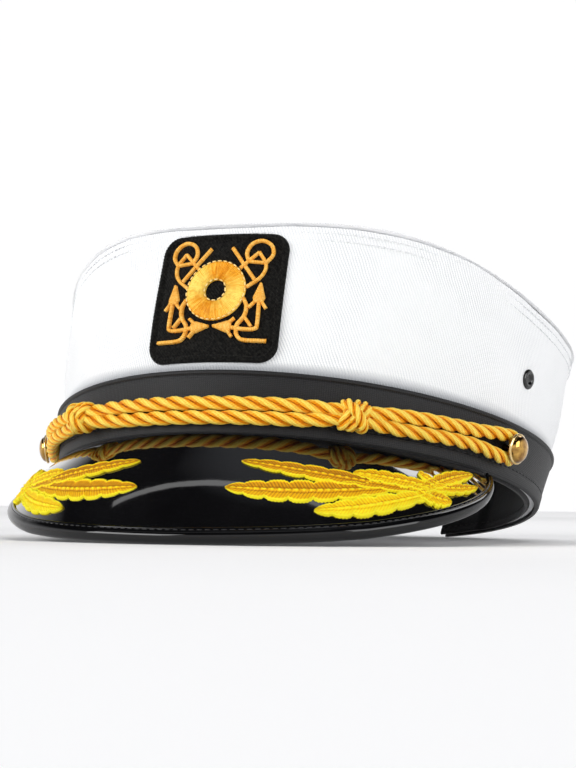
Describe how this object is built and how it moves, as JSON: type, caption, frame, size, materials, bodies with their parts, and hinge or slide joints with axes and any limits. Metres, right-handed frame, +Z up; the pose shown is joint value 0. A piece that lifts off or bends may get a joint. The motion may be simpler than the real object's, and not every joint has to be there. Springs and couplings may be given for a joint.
{
  "type": "captain hat",
  "caption": "White cloth captain hat with a black band, glossy black visor with gold leaf sprays, anchor patch, twisted gold chin cord and rear strap.",
  "frame": {"origin": "on the surface that the hat rests on, under the middle of its box", "axes": "+Z up, -Y towards the visor and the wearer's face, +X towards the wearer's left"},
  "size_m": [0.1922, 0.257, 0.1067],
  "materials": {
    "crown_cloth": "white cotton twill, matt",
    "band_cloth": "black woven tape, low sheen",
    "sweatband_cloth": "black brushed cloth, matt",
    "visor_patent": "black patent, mirror gloss",
    "leaf_thread": "bright yellow satin stitch",
    "patch_cloth": "black twill with a stitched border",
    "emblem_thread": "old gold satin stitch",
    "cord_thread": "gold rayon, twisted, silky",
    "button_metal": "polished gilt",
    "eyelet_metal": "gloss black"
  },
  "bodies": {
    "root": {"crown_side": "crown_cloth", "crown_top": "crown_cloth", "band": "band_cloth", "sweatband": "sweatband_cloth", "rear_strap": "sweatband_cloth", "visor": "visor_patent", "visor_binding": "visor_patent", "leaf_spray_left": "leaf_thread", "leaf_spray_right": "leaf_thread", "patch": "patch_cloth", "emblem": "emblem_thread", "chin_cord": "cord_thread", "knot_left": "cord_thread", "knot_right": "cord_thread", "button_left": "button_metal", "button_right": "button_metal", "eyelet_left": "eyelet_metal", "eyelet_right": "eyelet_metal"}
  },
  "joints": []
}
